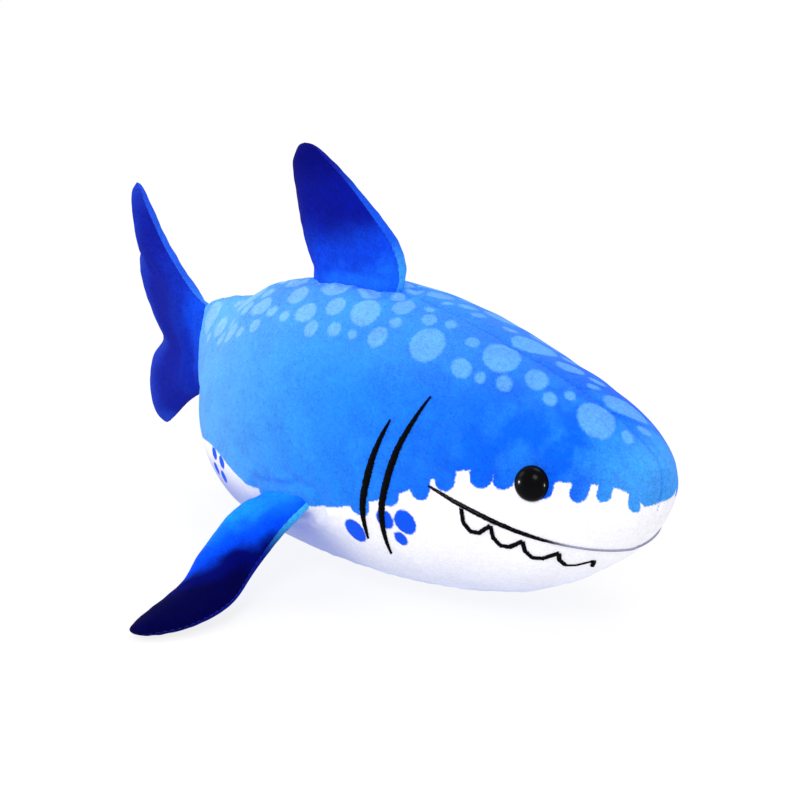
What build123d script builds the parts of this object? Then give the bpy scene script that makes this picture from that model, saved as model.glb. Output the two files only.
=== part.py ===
from build123d import *
from math import acos, cos, pi
import os

# A stuffed toy shark lying on its belly. Millimetres. +X is the nose, +Y the toy's left side
# and +Z up. The origin is on the surface it lies on, under the middle of its length and width.

# ---- driving dimensions ----
NOSE_X = 171.0          # tip of the nose; the tail fin reaches as far the other way
BODY_LENGTH = 293.0     # nose to the end of the tail stock, without the tail fin
SKIN = 2.0              # plush fabric of the body, pile included
FIN_SKIN = 1.5          # fabric of the fins
STITCH_RISE = 0.8       # how far embroidery and seam threads stand above the fabric
SEAM_WIDTH = 0.8
BELLY_LENGTH = 250.0    # white belly panel, a pointed lens seen from below
BELLY_WIDTH = 62.0
BELLY_X = 14.0          # middle of the belly panel
BELLY_TOP = 55.0        # no part of the belly panel or its seam is higher than this
EYE_POINT = Vector(131, -39, 78)
EYE_BALL = 8.0          # radius of the eye's dome
EYE_SUNK = 2.8          # how deep the dome's centre lies below the fabric
SHANK_RADIUS = 1.6
SHANK_LENGTH = 11.0
WASHER_RADIUS = 7.0
WASHER_THICK = 1.5
WASHER_DEPTH = 3.2      # outer face of the washer below the fabric's outer face
GILL_WIDTH = 3.2
TOOTH_THREAD = 1.4      # width of the zigzag satin stitch
LADDER_STITCHES = 9     # closing stitches across the left belly seam
LADDER_PITCH = 5.0
LADDER_THREAD = 1.0
LADDER_SPAN = 6.0       # how far each closing stitch reaches across the seam
CLOSING_X = -31.0       # middle of the closed gap
DORSAL_HINGE = Vector(-13.5, 0, 131.6)      # seam lines that the fins bend about
DORSAL_RUN = Vector(10, 0, 1)               # the back rises towards the front along this line
TAIL_HINGE = Vector(-122.9, 0, 70)
PECTORAL_HINGE = Vector(4, -63.6, 43.5)
REACH = 120.0           # shapes that only cut reach at least this far
STRIP_START = (0, 6)    # an edge seam starts this far from the seam line, on the profile's plane
STRIP_LENGTH = 60.0

# Body sections: distance back from the nose, half width, top, height of the widest place, bottom.
SECTIONS = [
    (0, 0, 80, 80, 80),
    (1, 7, 87, 79, 71),
    (5, 15, 90, 73, 58),
    (13, 24, 95, 69, 47),
    (29, 36, 103, 66, 32),
    (54, 46, 111, 64, 16),
    (84, 54, 118, 62, 6),
    (129, 63, 127, 60, -1),
    (189, 62, 129, 54, -1),
    (239, 46, 115, 49, 5),
    (269, 24, 103, 54, 22),
    (287, 8, 97, 62, 40),
    (BODY_LENGTH, 4, 93, 65, 47),
]
LOFT_STEPS = 16         # sections of the loft, closer together towards the nose and the tail
MIDDLE = Vector(NOSE_X - BODY_LENGTH / 2, 0, 63)    # the body shrinks and grows about this point
HALF_SIZE = Vector(BODY_LENGTH / 2, 63, 64)

os.makedirs("parts", exist_ok=True)


def write(part, name):
    part.label = name
    export_step(part, "parts/" + name + ".step")


# ---- body ----
def girth_at(turn):
    """Distance back, half width, top, widest and bottom at a turn from 0, nose, to 1, tail stock.

    The turn spaces the sections like points on a half circle, and the values follow a smooth
    curve through the listed sections."""
    turns = [acos(1 - 2 * row[0] / BODY_LENGTH) / pi for row in SECTIONS]
    last = len(turns) - 1
    at = max(k for k in range(last) if turns[k] <= turn)
    step = turns[at + 1] - turns[at]
    t = (turn - turns[at]) / step

    def slope(k, column):
        low, high = max(k - 1, 0), min(k + 1, last)
        return (SECTIONS[high][column] - SECTIONS[low][column]) / (turns[high] - turns[low])

    values = [BODY_LENGTH * (1 - cos(pi * turn)) / 2]
    for column in range(1, 5):
        here, there = SECTIONS[at][column], SECTIONS[at + 1][column]
        eased = here + (there - here) * (3 * t**2 - 2 * t**3)
        leaving = slope(at, column) * step * (t - 2 * t**2 + t**3)
        arriving = slope(at + 1, column) * step * (t**3 - t**2)
        values.append(eased + leaving + arriving)
    return values


def body_solid(grow):
    """The lofted body, moved out by grow all round, with its belly flattened by the surface."""
    ratio = Vector(1 + grow / HALF_SIZE.X, 1 + grow / HALF_SIZE.Y, 1 + grow / HALF_SIZE.Z)

    def x_of(back):
        return MIDDLE.X + (NOSE_X - back - MIDDLE.X) * ratio.X

    def z_of(height):
        return MIDDLE.Z + (height - MIDDLE.Z) * ratio.Z

    with BuildPart() as body:
        for number in range(LOFT_STEPS, 0, -1):
            back, half_width, top, widest, bottom = girth_at(number / LOFT_STEPS)
            with BuildSketch(Plane.YZ.offset(x_of(back))):
                with BuildLine():
                    width, centre = half_width * ratio.Y, (0, z_of(widest))
                    above = z_of(top) - z_of(widest)
                    below = z_of(widest) - z_of(bottom)
                    for height, start in ((above, 0), (above, 90), (below, 180), (below, 270)):
                        EllipticalCenterArc(centre, width, height, start, arc_size=90)
                make_face()
        nose = Vertex(x_of(0), 0, z_of(SECTIONS[0][2]))
        loft(sections=body.pending_faces + [nose])
        split(bisect_by=Plane.XY.offset(-min(grow, 0)), keep=Keep.TOP)
    return body.part


outer = body_solid(0)
inner = body_solid(-SKIN)
raised = body_solid(STITCH_RISE) - outer        # the thin layer that all stitching stands in


def belly_lens(grow):
    """The belly panel's outline, seen from below, and everything above and below it."""
    half_length, half_width = BELLY_LENGTH / 2 + grow, BELLY_WIDTH / 2 + grow
    with BuildPart() as lens:
        with BuildSketch(Plane.XY.offset(-SEAM_WIDTH)):
            with BuildLine():
                front, rear = (BELLY_X + half_length, 0), (BELLY_X - half_length, 0)
                ThreePointArc(front, (BELLY_X, half_width), rear)
                ThreePointArc(rear, (BELLY_X, -half_width), front)
            make_face()
        extrude(amount=BELLY_TOP + SEAM_WIDTH)
    return lens.part


lens = belly_lens(0)
face = outer.faces().sort_by_distance(EYE_POINT)[0]
eye_plane = Plane(origin=EYE_POINT, z_dir=face.normal_at(EYE_POINT))


def eye_shank():
    with BuildPart() as shank:
        with Locations(eye_plane.offset(-SHANK_LENGTH)):
            Cylinder(SHANK_RADIUS, SHANK_LENGTH + 1, align=(Align.CENTER, Align.CENTER, Align.MIN))
    return shank.part


shank = eye_shank()
both_shanks = shank + mirror(shank, about=Plane.XZ)

with BuildPart() as right_eye:
    with Locations(eye_plane.offset(-EYE_SUNK)):
        Sphere(EYE_BALL)
    add(outer, mode=Mode.SUBTRACT)
    add(shank)

with BuildPart() as right_eye_washer:
    with Locations(eye_plane.offset(-WASHER_DEPTH)):
        Cylinder(WASHER_RADIUS, WASHER_THICK, align=(Align.CENTER, Align.CENTER, Align.MAX))
    add(shank, mode=Mode.SUBTRACT)

washer = right_eye_washer.part
with BuildPart() as body_stuffing:
    add(inner)
    add(washer + mirror(washer, about=Plane.XZ), mode=Mode.SUBTRACT)
    add(both_shanks, mode=Mode.SUBTRACT)

with BuildPart() as belly_panel:
    add(outer)
    add(inner, mode=Mode.SUBTRACT)
    add(lens, mode=Mode.INTERSECT)

with BuildPart() as right_side_panel:
    add(outer)
    add(inner, mode=Mode.SUBTRACT)
    add(lens, mode=Mode.SUBTRACT)
    add(shank, mode=Mode.SUBTRACT)
    split(bisect_by=Plane.XZ, keep=Keep.TOP)

write(right_side_panel.part, "right_side_panel")
write(mirror(right_side_panel.part, about=Plane.XZ), "left_side_panel")
write(belly_panel.part, "belly_panel")
write(body_stuffing.part, "body_stuffing")
write(right_eye.part, "right_eye")
write(mirror(right_eye.part, about=Plane.XZ), "left_eye")
write(washer, "right_eye_washer")
write(mirror(washer, about=Plane.XZ), "left_eye_washer")


# ---- stitching on the body: outlines drawn on the side view, laid on the fabric ----
def laid_on_right(outline):
    """The part of the raised layer behind an outline drawn on the XZ plane, on the right side."""
    with BuildPart() as patch:
        add(raised)
        extrude(outline, amount=REACH, mode=Mode.INTERSECT)
    return patch.part


with BuildSketch(Plane.XZ) as mouth_outline:
    with BuildLine():
        Spline((86, 69.2), (102, 65), (129, 58.2), (147, 50.4), (160, 46.6))
        Line((160, 46.6), (160, 45.4))
        Spline((160, 45.4), (147, 48.8), (129, 55.6), (102, 62.6), (86, 69.2))
    make_face()

with BuildPart() as mouth_line_stitching:
    add(raised)
    extrude(mouth_outline.sketch, amount=REACH, both=True, mode=Mode.INTERSECT)

with BuildSketch(Plane.XZ) as teeth_outline:
    with BuildLine():
        Polyline((102, 61.6), (103, 56), (106, 53.2), (110, 54), (116, 56.5), (117, 49), (119, 46.4),
                 (123, 48), (129, 52), (130, 46), (131.5, 44), (135, 45), (139, 48))
    trace(line_width=TOOTH_THREAD)


def gill(top, middle, bottom):
    """A slit that is widest in the middle and pointed at both ends."""
    with BuildSketch(Plane.XZ) as slit:
        with BuildLine():
            ThreePointArc(top, (middle[0] - GILL_WIDTH / 2, middle[1]), bottom)
            ThreePointArc(bottom, (middle[0] + GILL_WIDTH / 2, middle[1]), top)
        make_face()
    return slit.sketch


gills = gill((74, 103), (65, 66), (62, 31)) + gill((61, 92), (54, 63), (52, 37))
right_gills = laid_on_right(gills)
right_teeth = laid_on_right(teeth_outline.sketch) - mouth_line_stitching.part

with BuildPart() as back_seam_thread:
    add(raised)
    with BuildSketch(Plane.XZ):
        Rectangle(4 * REACH, 4 * REACH)
    extrude(amount=SEAM_WIDTH / 2, both=True, mode=Mode.INTERSECT)
    add(lens, mode=Mode.SUBTRACT)
    add(mouth_line_stitching.part, mode=Mode.SUBTRACT)
    with Locations((NOSE_X - BODY_LENGTH, 0, MIDDLE.Z)):
        Box(2 * STITCH_RISE, 4 * SEAM_WIDTH, 2 * REACH, mode=Mode.SUBTRACT)

closing = (CLOSING_X, BELLY_WIDTH / 2 - LADDER_SPAN / 3, 0)
with BuildPart() as ladder:
    with Locations(closing):
        with GridLocations(LADDER_PITCH, 1, LADDER_STITCHES, 1):
            Box(LADDER_THREAD, LADDER_SPAN, BELLY_TOP)

with BuildPart() as closing_stitches:
    add(raised)
    add(ladder.part, mode=Mode.INTERSECT)

with BuildPart() as belly_seam_thread:
    add(raised)
    add(belly_lens(SEAM_WIDTH / 2) - belly_lens(-SEAM_WIDTH / 2), mode=Mode.INTERSECT)
    add(back_seam_thread.part, mode=Mode.SUBTRACT)
    with Locations(closing):
        Box(LADDER_STITCHES * LADDER_PITCH, 2 * LADDER_SPAN, BELLY_TOP, mode=Mode.SUBTRACT)

write(mouth_line_stitching.part, "mouth_line_stitching")
write(right_teeth, "right_teeth_stitching")
write(mirror(right_teeth, about=Plane.XZ), "left_teeth_stitching")
write(right_gills, "right_gill_stitching")
write(mirror(right_gills, about=Plane.XZ), "left_gill_stitching")
write(back_seam_thread.part, "back_seam_thread")
write(belly_seam_thread.part, "belly_seam_thread")
write(closing_stitches.part, "closing_stitches")


# ---- fins: two panels, stuffing and the thread of the edge seam ----
def crossed(outline, profile):
    """What lies inside both an outline and a profile drawn across it."""
    with BuildPart() as solid:
        extrude(outline, amount=REACH, both=True)
        extrude(profile, amount=REACH, both=True, mode=Mode.INTERSECT)
    return solid.part


def fin_pieces(outline, profile, first_side, middle_strip):
    """Panels on the first and second side, stuffing, and edge seam, from sketches of the fin.

    first_side is the profile plane's region on one side of the fin's middle surface, and
    middle_strip a thin band along that surface, which stops short of the seam to the body."""
    whole = crossed(outline, profile)
    stuffing = crossed(offset(outline, -FIN_SKIN), offset(profile, -FIN_SKIN))
    shell = whole - stuffing
    cutter = extrude(first_side, amount=REACH, both=True)
    edge = crossed(offset(outline, SEAM_WIDTH), middle_strip) - crossed(outline, middle_strip)
    return shell & cutter, shell - cutter, stuffing, edge


# Dorsal fin: stands up from the back seam and leans back.
with BuildSketch(Plane.XZ) as dorsal_outline:
    with BuildLine():
        ThreePointArc((-41, 128), (-50, 152), (-54, 176))
        ThreePointArc((-54, 176), (-47, 186), (-36, 184))
        ThreePointArc((-36, 184), (-9, 167), (14, 146))
        ThreePointArc((14, 146), (16, 140), (15, 134))
        Line((15, 134), (-41, 128))
    make_face()

dorsal_profile_plane = Plane(origin=DORSAL_HINGE, x_dir=(0, 1, 0), z_dir=DORSAL_RUN)
with BuildSketch(dorsal_profile_plane) as dorsal_profile:
    with BuildLine():
        Line((0, 0), (11, 12))
        ThreePointArc((11, 12), (9, 37), (2.5, 60))
        Line((2.5, 60), (0, 60))
        mirror(about=Plane.YZ)
    make_face()

with BuildSketch(dorsal_profile_plane) as dorsal_right_side:
    Rectangle(REACH, 2 * REACH, align=(Align.MAX, Align.CENTER))

with BuildSketch(dorsal_profile_plane) as dorsal_strip:
    with Locations(STRIP_START):
        Rectangle(SEAM_WIDTH, STRIP_LENGTH, align=(Align.CENTER, Align.MIN))

# Tail fin: an upright crescent with a shallow fork, sewn to the end of the tail stock.
with BuildSketch(Plane.XZ) as tail_outline:
    with BuildLine():
        ThreePointArc((-122.9, 95), (-148, 116), (-166, 144))
        ThreePointArc((-166, 144), (-170, 145), (-171, 140))
        ThreePointArc((-171, 140), (-167, 122), (-166, 104))
        ThreePointArc((-166, 104), (-160, 85), (-149, 71))
        ThreePointArc((-149, 71), (-160.5, 50), (-155, 26))
        ThreePointArc((-155, 26), (-152, 23), (-148, 25))
        ThreePointArc((-148, 25), (-136, 36), (-122.9, 46))
        Line((-122.9, 46), (-122.9, 95))
    make_face()

tail_profile_plane = Plane(origin=TAIL_HINGE, x_dir=(0, 1, 0), z_dir=(0, 0, 1))
with BuildSketch(tail_profile_plane) as tail_profile:
    with BuildLine():
        Line((0, 0), (8.5, 9))
        ThreePointArc((8.5, 9), (7.5, 28), (3, 50))
        Line((3, 50), (0, 50))
        mirror(about=Plane.YZ)
    make_face()

with BuildSketch(tail_profile_plane) as tail_right_side:
    Rectangle(REACH, 2 * REACH, align=(Align.MAX, Align.CENTER))

with BuildSketch(tail_profile_plane) as tail_strip:
    with Locations(STRIP_START):
        Rectangle(SEAM_WIDTH, STRIP_LENGTH, align=(Align.CENTER, Align.MIN))

# Right pectoral fin: droops from the flank until its tip lies on the surface.
with BuildSketch(Plane.XY) as pectoral_outline:
    with BuildLine():
        Line((-12, -63.6), (20, -63.6))
        ThreePointArc((20, -63.6), (15.5, -76), (15, -90))
        ThreePointArc((15, -90), (18.5, -115), (8, -146))
        ThreePointArc((8, -146), (0, -150), (-5, -148))
        ThreePointArc((-5, -148), (-6, -128), (-10, -104))
        ThreePointArc((-10, -104), (-17.5, -84), (-12, -63.6))
    make_face()

pectoral_plane = Plane(origin=(PECTORAL_HINGE.X, 0, 0), x_dir=(0, 1, 0), z_dir=(1, 0, 0))
HINGE_YZ = (PECTORAL_HINGE.Y, PECTORAL_HINGE.Z)
DROOP = ((-102, 17), (-153, 3))        # the middle surface's arc from the hinge to past the tip

with BuildSketch(pectoral_plane) as pectoral_profile:
    with BuildLine():
        Line(HINGE_YZ, (-75, 44))
        ThreePointArc((-75, 44), (-107, 21), (-153, 5.5))
        Line((-153, 5.5), (-153, 0.4))
        ThreePointArc((-153, 0.4), (-106, 8), (-70, 29))
        Line((-70, 29), HINGE_YZ)
    make_face()

with BuildSketch(pectoral_plane) as pectoral_upper_side:
    with BuildLine():
        ThreePointArc(HINGE_YZ, *DROOP)
        Polyline((-153, 3), (-200, 3), (-200, 100), (-40, 100), (-40, 43.5), HINGE_YZ)
    make_face()

with BuildSketch(pectoral_plane) as pectoral_strip:
    with BuildLine():
        ThreePointArc((-68, 39.5), *DROOP)
    trace(line_width=SEAM_WIDTH)

fins = [
    ("dorsal_fin", ("right", "left"),
     fin_pieces(dorsal_outline.sketch, dorsal_profile.sketch, dorsal_right_side.sketch, dorsal_strip.sketch)),
    ("tail_fin", ("right", "left"),
     fin_pieces(tail_outline.sketch, tail_profile.sketch, tail_right_side.sketch, tail_strip.sketch)),
    ("right_pectoral_fin", ("upper", "lower"),
     fin_pieces(pectoral_outline.sketch, pectoral_profile.sketch, pectoral_upper_side.sketch,
                pectoral_strip.sketch)),
]
left_pectoral = [mirror(piece, about=Plane.XZ) for piece in fins[2][2]]
fins.append(("left_pectoral_fin", ("upper", "lower"), left_pectoral))
for fin, sides, (first, second, stuffing, edge) in fins:
    write(first, fin + "_" + sides[0] + "_panel")
    write(second, fin + "_" + sides[1] + "_panel")
    write(stuffing, fin + "_stuffing")
    write(edge, fin + "_edge_seam_thread")
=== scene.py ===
import math
import random

import bpy
import numpy as np
from mathutils import Matrix, Vector, noise
from mathutils.bvhtree import BVHTree


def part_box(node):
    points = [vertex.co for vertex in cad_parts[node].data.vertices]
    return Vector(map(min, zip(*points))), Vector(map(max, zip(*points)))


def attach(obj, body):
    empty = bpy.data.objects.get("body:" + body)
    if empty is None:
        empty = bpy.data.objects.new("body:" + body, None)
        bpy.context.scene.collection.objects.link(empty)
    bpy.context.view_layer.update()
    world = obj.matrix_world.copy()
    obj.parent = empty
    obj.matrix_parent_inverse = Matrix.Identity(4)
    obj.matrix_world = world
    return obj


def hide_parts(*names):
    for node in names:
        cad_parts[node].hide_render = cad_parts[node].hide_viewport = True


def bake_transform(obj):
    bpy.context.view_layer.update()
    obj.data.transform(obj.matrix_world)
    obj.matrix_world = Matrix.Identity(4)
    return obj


# A plush shark with printed panels, embroidered face and gills, and stuffed fins.
# Shapes are worked out in millimetres in the frame's axes: +X nose, +Y the toy's left, +Z up.

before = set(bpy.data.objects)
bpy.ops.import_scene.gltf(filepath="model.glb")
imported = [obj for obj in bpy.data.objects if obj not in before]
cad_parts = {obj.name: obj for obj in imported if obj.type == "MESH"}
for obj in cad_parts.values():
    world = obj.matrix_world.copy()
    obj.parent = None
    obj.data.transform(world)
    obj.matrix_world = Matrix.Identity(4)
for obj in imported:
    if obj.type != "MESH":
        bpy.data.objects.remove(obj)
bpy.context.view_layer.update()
MM = 0.001
RIGHT, LEFT = -1, 1             # which way a side faces along Y
COARSE = 1
random.seed(7)


def box_mm(node):
    low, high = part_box(node)
    return np.array(low) / MM, np.array(high) / MM


# ---- small helpers
def smooth_step(low, high, value):
    t = np.clip((value - low) / (high - low), 0, 1)
    return t * t * (3 - 2 * t)


def distance_along(points, axis=0):
    """The distance run along one axis of a row or grid of points."""
    steps = np.linalg.norm(np.diff(points, axis=axis), axis=-1)
    start = np.zeros_like(np.take(steps, [0], axis=axis))
    return np.concatenate([start, np.cumsum(steps, axis=axis)], axis=axis)


def read_along(at, length, values):
    """Points or directions of a line, read at distances along it."""
    return np.stack([np.interp(at, length, column) for column in values.T], -1)


def curve_through(points, number):
    """A smooth open curve through a few points, as `number` points spaced evenly along it."""
    points = np.array(points, float)
    padded = np.vstack([2 * points[0] - points[1], points, 2 * points[-1] - points[-2]])
    fine = []
    for k in range(len(points) - 1):
        a, b, c, d = padded[k:k + 4]
        for t in np.linspace(0, 1, 24, endpoint=False):
            fine.append(0.5 * (2 * b + (c - a) * t + (2 * a - 5 * b + 4 * c - d) * t * t
                               + (3 * b - a - 3 * c + d) * t ** 3))
    fine = np.array(fine + [points[-1]])
    length = distance_along(fine)
    return read_along(np.linspace(0, length[-1], number), length, fine)


def noise_at(points, size, seed=0.0):
    """Smooth noise of about -0.5 to 0.5 at each point, with lumps of the given size."""
    flat = points.reshape(-1, 3) / size + seed
    values = [noise.noise(Vector(p)) for p in flat]
    return np.array(values).reshape(points.shape[:-1])


def grid_normals(grid):
    """Unit normals of a grid of points: rows run along the first axis, columns along the second."""
    normal = np.cross(np.gradient(grid, axis=0), np.gradient(grid, axis=1))
    length = np.linalg.norm(normal, axis=-1, keepdims=True)
    return normal / np.maximum(length, 1e-9)


def add_object(name, data):
    made = bpy.data.objects.new(name, data)
    bpy.context.scene.collection.objects.link(made)
    return made


def mesh_object(name, vertices, faces, attributes=None, outward=None):
    """A smooth-shaded mesh object from points in millimetres, with named point attributes.

    outward is a point inside the piece: the faces are turned over if they mostly face it."""
    vertices = np.asarray(vertices, float)
    faces = [tuple(f) for f in faces]
    if outward is not None:
        f = np.array([face[:3] for face in faces])
        a, b, c = vertices[f[:, 0]], vertices[f[:, 1]], vertices[f[:, 2]]
        if np.sum(np.cross(b - a, c - a) * ((a + b + c) / 3 - np.array(outward))) < 0:
            faces = [face[::-1] for face in faces]
    mesh = bpy.data.meshes.new(name)
    mesh.from_pydata((vertices * MM).tolist(), [], faces)
    mesh.shade_smooth()
    rest = mesh.attributes.new("rest", "FLOAT_VECTOR", "POINT")
    rest.data.foreach_set("vector", vertices.astype(np.float32).ravel())
    for key, values in (attributes or {}).items():
        layer = mesh.attributes.new(key, "FLOAT", "POINT")
        layer.data.foreach_set("value", np.asarray(values, np.float32).ravel())
    return add_object(name, mesh)


def quads(index, closed=False):
    """Four-sided faces in a grid of vertex numbers; closed joins its last column to its first."""
    if closed:
        index = np.concatenate([index, index[:, :1]], axis=1)
    corners = [index[:-1, :-1], index[:-1, 1:], index[1:, 1:], index[1:, :-1]]
    return np.stack(corners, -1).reshape(-1, 4).tolist()


def grid_object(name, grid, attributes, outward):
    """A mesh object from a grid of points."""
    index = np.arange(grid[..., 0].size).reshape(grid.shape[:2])
    return mesh_object(name, grid.reshape(-1, 3), quads(index), attributes, outward)


def closed_tube(name, grid, ends=None):
    """A closed piece from a grid whose columns run all the way round, with a point at both ends."""
    index = np.arange(grid[..., 0].size).reshape(grid.shape[:2])
    faces = quads(index, True)
    for extra, ring in enumerate((index[0, ::-1].tolist(), index[-1].tolist())):
        faces += [(index.size + extra, a, b) for a, b in zip(ring, ring[1:] + ring[:1])]
    vertices = np.concatenate([grid.reshape(-1, 3), ends or [grid[0].mean(0), grid[-1].mean(0)]])
    return mesh_object(name, vertices, faces, outward=vertices.mean(0))


def tree_of(pieces):
    """What rays are cast at: the faces of some pieces, in millimetres."""
    vertices, faces = [], []
    for piece in pieces:
        start = len(vertices)
        vertices += [v.co / MM for v in piece.data.vertices]
        faces += [[start + i for i in p.vertices] for p in piece.data.polygons]
    return BVHTree.FromPolygons(vertices, faces)


def dress(piece, paint, node):
    """Paints a piece that stays with the body, and hides the imported part it stands for."""
    piece.data.materials.append(paint)
    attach(piece, "body")
    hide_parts(node)


# ---- materials
def linear(red, green, blue):
    """A shader colour from 0 to 255 screen values."""
    def one(c):
        c /= 255
        return c / 12.92 if c <= 0.04045 else ((c + 0.055) / 1.055) ** 2.4
    return one(red), one(green), one(blue), 1.0


class Nodes:
    """Short names for building one node material."""

    def __init__(self, name):
        self.material = bpy.data.materials.new(name)
        self.material.use_nodes = True
        self.tree = self.material.node_tree
        self.shader = self.tree.nodes["Principled BSDF"]
        self.rest = self.attribute("rest").outputs["Vector"]       # in millimetres

    def add(self, kind, **settings):
        node = self.tree.nodes.new(kind)
        for key, value in settings.items():
            setattr(node, key, value)
        return node

    def put(self, socket, value):
        if isinstance(value, bpy.types.NodeSocket):
            self.tree.links.new(value, socket)
        else:
            socket.default_value = value

    def fill(self, node, **values):
        """Sets or links a node's inputs, by their names with _ for a space."""
        for key, value in values.items():
            self.put(node.inputs[key.replace("_", " ")], value)
        return node

    def look(self, **values):
        """Sets or links the shader's inputs, and gives the finished material."""
        self.fill(self.shader, **values)
        return self.material

    def attribute(self, name):
        return self.add("ShaderNodeAttribute", attribute_name=name)

    def value(self, name):
        return self.attribute(name).outputs["Fac"]

    def math(self, operation, a, b=0.0, c=0.0):
        node = self.add("ShaderNodeMath", operation=operation)
        for socket, value in zip(node.inputs, (a, b, c)):
            self.put(socket, value)
        return node.outputs[0]

    def ramp(self, value, low, high, start=0.0, end=1.0):
        node = self.add("ShaderNodeMapRange", interpolation_type="SMOOTHSTEP")
        self.fill(node, Value=value, From_Min=low, From_Max=high, To_Min=start, To_Max=end)
        return node.outputs[0]

    def mix(self, factor, a, b):
        """A mix of two colours, each a socket, a shader colour or three screen values."""
        node = self.fill(self.add("ShaderNodeMix", data_type="RGBA"), Factor=factor)
        for k, colour in ((6, a), (7, b)):
            plain = isinstance(colour, tuple) and len(colour) == 3
            self.put(node.inputs[k], linear(*colour) if plain else colour)
        return node.outputs[2]

    def noise(self, size, detail=2.0, roughness=0.5, where=None):
        """Noise with lumps of about `size` millimetres, unless other places are given."""
        node = self.add("ShaderNodeTexNoise")
        self.fill(node, Vector=where or self.rest, Scale=1.0 / size, Detail=detail, Roughness=roughness)
        return node.outputs["Fac"]

    def bump(self, height, distance, strength=1.0, normal=None):
        node = self.add("ShaderNodeBump")
        self.fill(node, Height=height, Distance=distance * MM, Strength=strength)
        if normal is not None:
            self.fill(node, Normal=normal)
        return node.outputs["Normal"]


def pile(nodes, colour, mottle=1.0, sheen=0.06, specular=0.06, grain=1.0):
    """Finishes a short-pile plush: tufts, brushed patches of nap, sheen and a soft bump.

    mottle scales the patches, and grain all of the uneven brightness."""
    tufts = nodes.noise(0.9, 4.0, 0.7)
    clumps = nodes.noise(2.6, 3.0, 0.6)
    nap = nodes.noise(16.0)
    shade = nodes.math("ADD", nodes.ramp(tufts, 0.3, 0.7, -0.22, 0.22),
                       nodes.ramp(clumps, 0.3, 0.7, -0.08, 0.08))
    shade = nodes.math("ADD", shade, nodes.ramp(nap, 0.35, 0.65, -0.035 * mottle, 0.035 * mottle))
    shade = nodes.math("MULTIPLY", shade, grain)
    bright = nodes.add("ShaderNodeHueSaturation")
    nodes.fill(bright, Value=nodes.math("ADD", shade, 1.0), Color=colour)
    coarse = nodes.bump(clumps, 0.4, 0.5)
    return nodes.look(Base_Color=bright.outputs["Color"], Normal=nodes.bump(tufts, 0.45, 0.7, coarse),
                      Roughness=nodes.ramp(clumps, 0.3, 0.7, 0.85, 0.98), Specular_IOR_Level=specular,
                      Sheen_Weight=sheen, Sheen_Roughness=0.4)


def ragged(nodes, measure, size, reach):
    """The distance to a printed edge, made slightly ragged by the pile."""
    wobble = nodes.ramp(nodes.noise(size, 2.0, 0.6), 0.25, 0.75, -reach, reach)
    return nodes.math("ADD", nodes.value(measure), wobble)


def body_print_and_painted_light():
    """Blue back with pale spots, white belly under a dripping border, a few dark blots; with painted light
    on the nose and the top of the back, and painted shade on the lower white.
    """
    n = Nodes("printed_plush")
    along = n.value("along")                  # 0 at the nose to 1 at the tail stock
    height = n.value("height")
    blue = n.mix(n.ramp(along, 0.18, 0.58), (0, 92, 238), (34, 132, 244))
    blue = n.mix(n.ramp(along, 0.45, 0.95), blue, (92, 168, 242))
    # Painted sheen: the blue is lighter at the nose.
    blue = n.mix(n.ramp(along, 0.1, 0.0), blue, (62, 150, 242))
    # Painted light: the top of the back is lighter.
    blue = n.mix(n.ramp(height, 96, 126, 0.0, 0.4), blue, (70, 140, 244))
    wash = n.ramp(n.noise(13.0), 0.42, 0.66)
    wash = n.math("MULTIPLY", wash, n.ramp(along, 0.0, 0.3, 0.42, 0.12))
    blue = n.mix(wash, blue, (52, 158, 250))
    spot = n.mix(n.ramp(along, 0.3, 0.95), (92, 160, 244), (134, 192, 244))
    blue = n.mix(n.ramp(ragged(n, "spots", 1.4, 0.35), -0.7, 0.9, 0.0, 0.8), blue, spot)
    # Painted shade: the white is darker and lavender towards the bottom, and more so low down behind the
    # pectoral fins.
    white = n.mix(n.ramp(height, 4, 44), (214, 220, 248), (248, 247, 254))
    shaded = n.math("MULTIPLY", n.ramp(along, 0.4, 0.56), n.ramp(height, 48, 26))
    white = n.mix(shaded, white, (160, 172, 226))
    white = n.mix(n.ramp(ragged(n, "blots", 1.2, 0.3), -0.5, 0.5), white, (2, 84, 240))
    whole = n.mix(n.ramp(ragged(n, "border", 1.2, 0.35), -0.5, 0.5), white, blue)
    return pile(n, whole, 1.7, grain=n.ramp(n.value("border"), -1.0, 1.0, 0.3, 1.0))


def white_plush():
    n = Nodes("white_plush")
    # Painted shade: the belly panel is darker and lavender towards the floor.
    white = n.mix(n.ramp(n.value("height"), 0, 30), (205, 212, 244), (236, 237, 252))
    return pile(n, white, grain=0.3)


def fin_print(name, colours, turns, skew=0.0, rim=None):
    """A fin's print, through four colours at shares of the way out, with a painted sheen along its front
    edge.

    skew makes the colours change nearer the root along the front edge. rim gives the colours of
    the far panel's margin turned round the front edge, at the root, half way out and at the tip:
    painted sheen, lighter than the print near the root, and the print's darker blues further out."""
    n = Nodes(name)
    out = n.math("ADD", n.value("outward"), n.math("MULTIPLY", n.value("forward"), skew))
    wavy = n.math("ADD", out, n.ramp(n.noise(20.0), 0.3, 0.7, -0.05, 0.05))
    colour = colours[0]
    for after, (low, high) in zip(colours[1:], turns):
        colour = n.mix(n.ramp(wavy, low, high), colour, after)
    # Painted sheen: a margin along the front edge, lighter than the print near the root.
    if rim:
        along = n.value("outward")
        margin = n.mix(n.ramp(along, 0.08, 0.36), rim[0], rim[1])
        margin = n.mix(n.ramp(along, 0.5, 0.95), margin, rim[2])
        colour = n.mix(n.ramp(ragged(n, "rim", 1.0, 0.3), -1.2, 1.2), colour, margin)
    return pile(n, colour, 1.3, 0.02, 0.02)


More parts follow.
